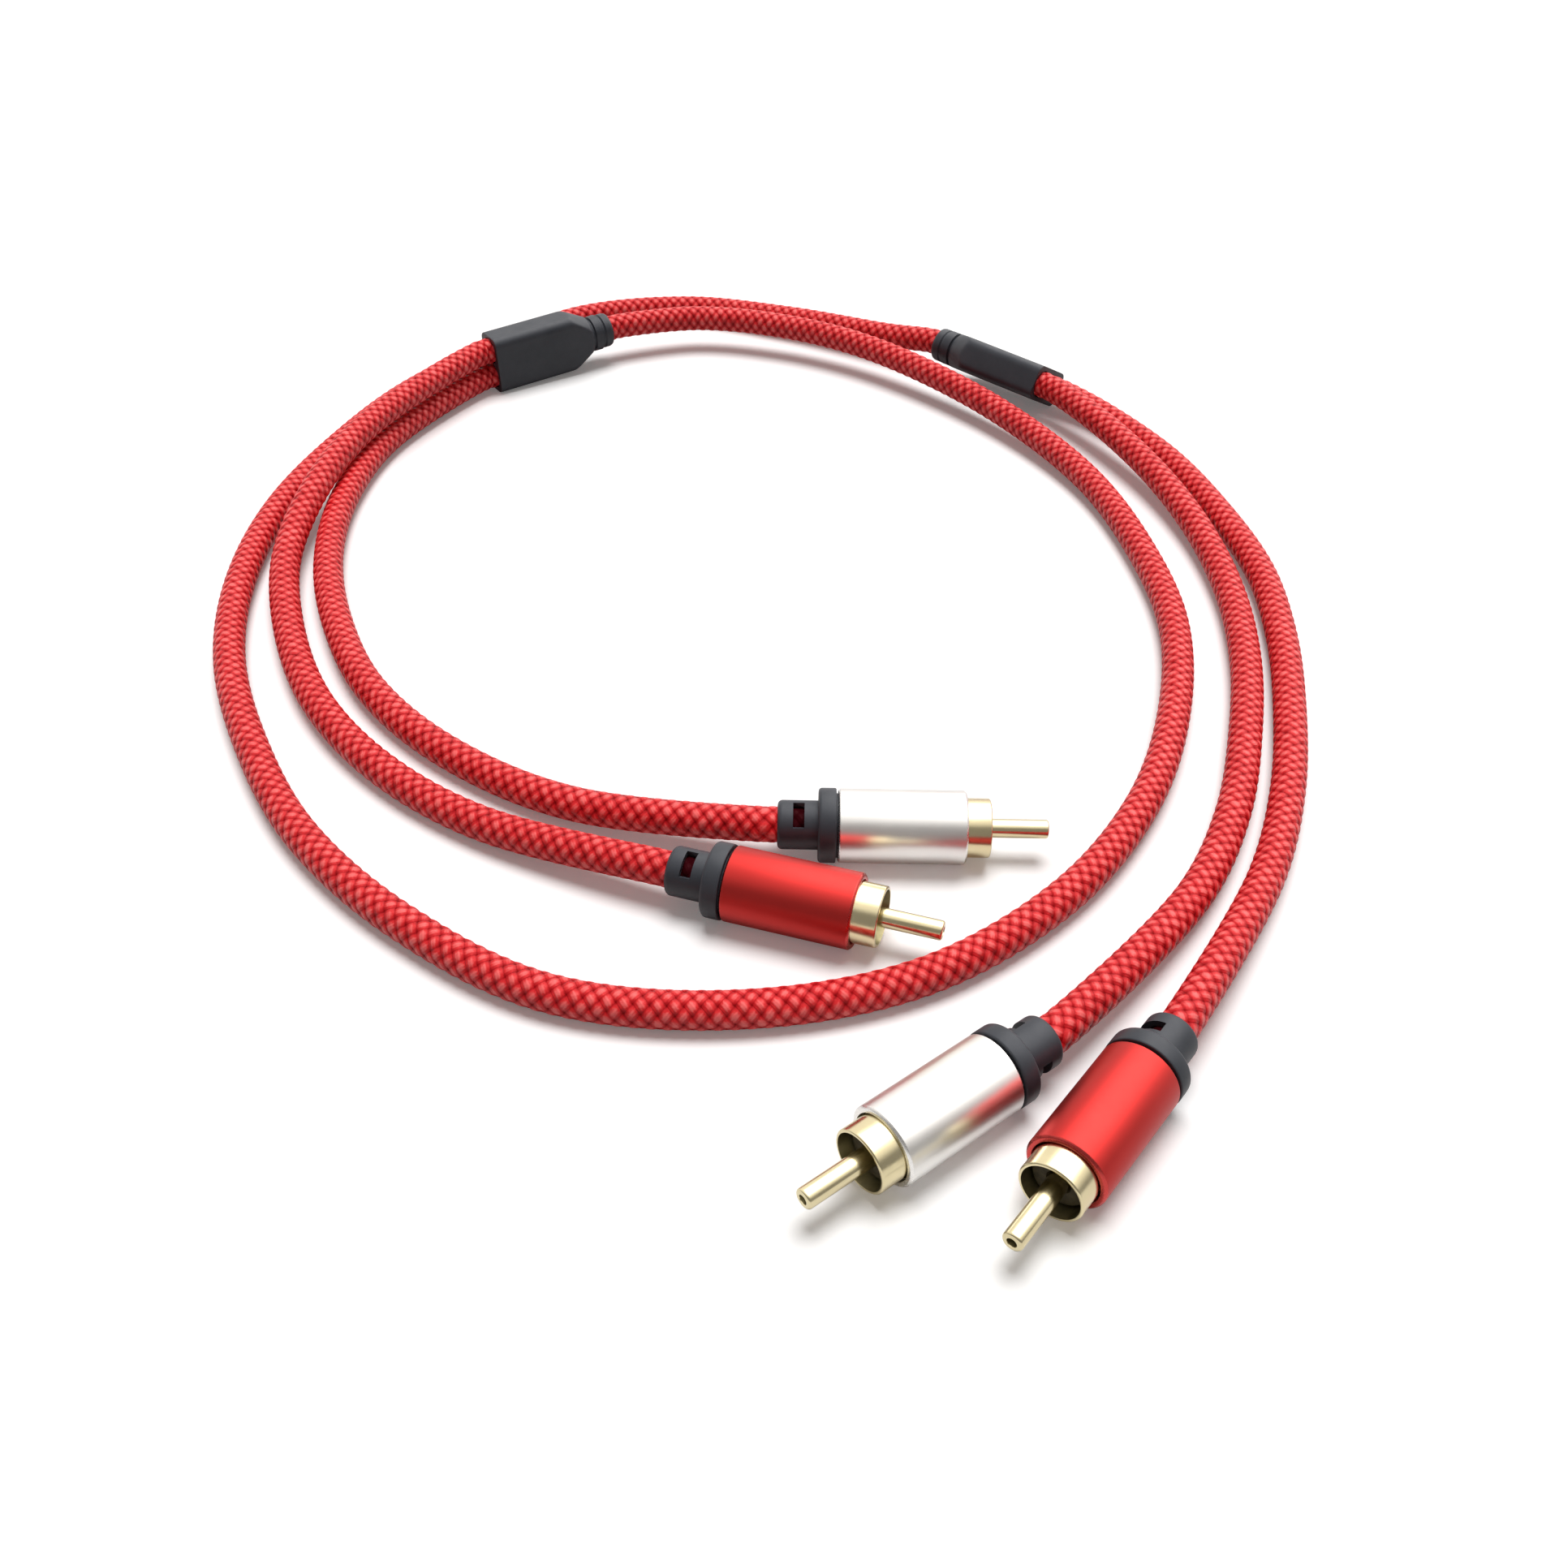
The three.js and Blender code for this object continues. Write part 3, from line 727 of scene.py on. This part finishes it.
# Insulators and centre pins
# A dark washer holds the gold-plated pin in the middle of the skirt. The pin is drilled at its
# tip, and its shoulder is drawn against the washer from behind, where the wire is soldered.
washer_back, washer_front = 18.7 * mm, 23.5 * mm
washer_radius, washer_bore, washer_chamfer = 4.2 * mm, 1.9 * mm, 0.3 * mm
pin_tip, pin_radius, pin_rounding = 35.5 * mm, 1.6 * mm, 0.4 * mm
pin_bore, pin_bore_depth, pin_bore_chamfer = 0.75 * mm, 5 * mm, 0.05 * mm
shoulder_back, shoulder_front, shoulder_radius = 17.2 * mm, 18.4 * mm, 2.4 * mm
cup_back, cup_floor, cup_bore = 13.7 * mm, 16.6 * mm, 0.9 * mm
near_axis = 0.02 * mm

washer = Finish("black_insulator", (0.08, 0.065, 0.036), 0.55, specular=0.25)
washer.mottle(washer.grain(scale=800), (0.3, (0.05, 0.04, 0.022)), (0.7, (0.11, 0.09, 0.05)))
washer.bump(washer.grain(scale=3000, detail=2.0), strength=0.2, distance=0.02 * mm)


def in_drilling(station, radius):
    return station > pin_tip - pin_bore_depth - 0.1 * mm and radius < pin_bore + 0.01 * mm


for plug, place in plug_places.items():
    bm = turned([
        (washer_back, washer_bore),
        (washer_back, washer_radius),
        (washer_front - washer_chamfer, washer_radius),
        (washer_front, washer_radius - washer_chamfer),
        (washer_front, washer_bore),
    ], edge=0.08 * mm)
    piece_from(
        f"{plug}_washer", bm, [washer], f"{plug}_insulator", placed(**place)
    )

    bm = turned([
        (cup_floor, near_axis),
        (cup_floor, cup_bore),
        (cup_back, cup_bore),
        (cup_back, pin_radius),
        (shoulder_back, pin_radius),
        (shoulder_back, shoulder_radius),
        (shoulder_front, shoulder_radius),
        (shoulder_front, pin_radius),
        *rounding(pin_tip - pin_rounding, pin_radius - pin_rounding, pin_rounding, 0, 90, steps=4),
        (pin_tip, pin_bore + pin_bore_chamfer),
        (pin_tip - 2 * pin_bore_chamfer, pin_bore),
        (pin_tip - pin_bore_depth, pin_bore),
        (pin_tip - pin_bore_depth, near_axis),
    ], facets=48)
    mark_second(bm, in_drilling)
    piece_from(
        f"{plug}_pin", bm, [gold, painted_shade_bore], f"{plug}_centre_pin", placed(**place)
    )


# Signal wires
# The white insulation and bare copper end of the signal wire, hidden inside the barrel between
# the end of the cord and the solder cup of the pin.
core = Finish("white_insulation", (0.8, 0.78, 0.72), 0.45)
core.mottle(core.grain(scale=500), (0.3, (0.72, 0.7, 0.64)), (0.7, (0.84, 0.82, 0.77)))
copper = Finish("copper_wire", (0.8, 0.36, 0.2), 0.3, metallic=1.0)
copper.mottle(copper.grain(scale=900), (0.3, (0.7, 0.28, 0.14)), (0.7, (0.86, 0.42, 0.26)))
for node, finish in (("wire_insulation", core), ("signal_wire", copper)):
    for plug in plug_places:
        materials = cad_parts[f"{plug}_{node}"].data.materials
        materials.clear()
        materials.append(finish.material)


# Studio
# A white table under one broad soft sun from just behind the coil. The room is pale behind
# and overhead and dark on the camera's side, which only the polished metal shows.
table_half_width, table_drop = 3, 0.05 * mm
white, bounced_white, mirrored_white = (1.0,) * 3, (0.45,) * 3, (0.95,) * 3
extra_white = 0.12

table_mesh = bpy.data.meshes.new("table_top")
bm = bmesh.new()
bmesh.ops.create_grid(bm, x_segments=1, y_segments=1, size=table_half_width)
bmesh.ops.translate(bm, verts=bm.verts, vec=(0, 0, -table_drop))
bm.to_mesh(table_mesh)
bm.free()
table_top = bpy.data.objects.new("table_top", table_mesh)
bpy.context.collection.objects.link(table_top)

paper = Finish("white_paper", white, 0.9, specular=0.0)
ray = paper.node("ShaderNodeLightPath")
unseen = paper.mixed(ray.outputs["Is Glossy Ray"], bounced_white, mirrored_white)
paper.drive("Base Color", paper.mixed(ray.outputs["Is Camera Ray"], unseen, white))
paper.surface.inputs["Emission Color"].default_value = (*white, 1)
paper.drive("Emission Strength", paper.maths("MULTIPLY", ray.outputs["Is Camera Ray"], extra_white))
table_mesh.materials.append(paper.material)


def room_light():
    """A world that lights evenly, looks white to the camera and graded to polished metal."""
    room = bpy.data.worlds.new("room")
    room.use_nodes = True
    nodes, links = room.node_tree.nodes, room.node_tree.links
    ray = nodes.new("ShaderNodeLightPath")
    direction = nodes.new("ShaderNodeTexCoord")

    def glow(axis, start, end, least, most):
        """A soft step in brightness around the axis, between two cosines of the angle to it."""
        slope = nodes.new("ShaderNodeVectorMath")
        slope.operation = "DOT_PRODUCT"
        slope.inputs[1].default_value = Vector(axis).normalized()
        links.new(direction.outputs["Generated"], slope.inputs[0])
        step = nodes.new("ShaderNodeMapRange")
        step.interpolation_type = "SMOOTHSTEP"
        for socket, value in zip(step.inputs[1:5], (start, end, least, most)):
            socket.default_value = value
        links.new(slope.outputs["Value"], step.inputs[0])
        return step.outputs[0]

    pale_half = glow(axis=(0.05, 0.31, 0.39), start=0.02, end=0.42, least=0.3, most=1.2)
    window = glow(axis=(0.35, 0.4, 0.85), start=0.7, end=0.96, least=0, most=3.6)
    level = nodes.new("ShaderNodeMath")
    links.new(pale_half, level.inputs[0])
    links.new(window, level.inputs[1])
    graded = nodes.new("ShaderNodeVectorMath")
    graded.operation = "SCALE"
    warm_white = (1, 0.97, 0.94)
    graded.inputs[0].default_value = warm_white
    links.new(level.outputs[0], graded.inputs["Scale"])

    colour = (0.2, 0.182, 0.168, 1)
    for kind, seen in (("Is Glossy Ray", graded.outputs[0]), ("Is Camera Ray", (*white, 1))):
        chosen = nodes.new("ShaderNodeMix")
        chosen.data_type = "RGBA"
        links.new(ray.outputs[kind], chosen.inputs["Factor"])
        for socket, value in ((chosen.inputs["A"], colour), (chosen.inputs["B"], seen)):
            if isinstance(value, tuple):
                socket.default_value = value
            else:
                links.new(value, socket)
        colour = chosen.outputs["Result"]
    links.new(colour, nodes["Background"].inputs[0])
    return room


bpy.context.scene.world = room_light()

sun = bpy.data.objects.new("soft_lamp", bpy.data.lights.new("soft_lamp", "SUN"))
sun.data.angle = math.radians(36)
sun.data.energy = 2.6
sun.visible_glossy = False
sun.rotation_euler = (math.radians(-11), math.radians(3), 0)
bpy.context.collection.objects.link(sun)
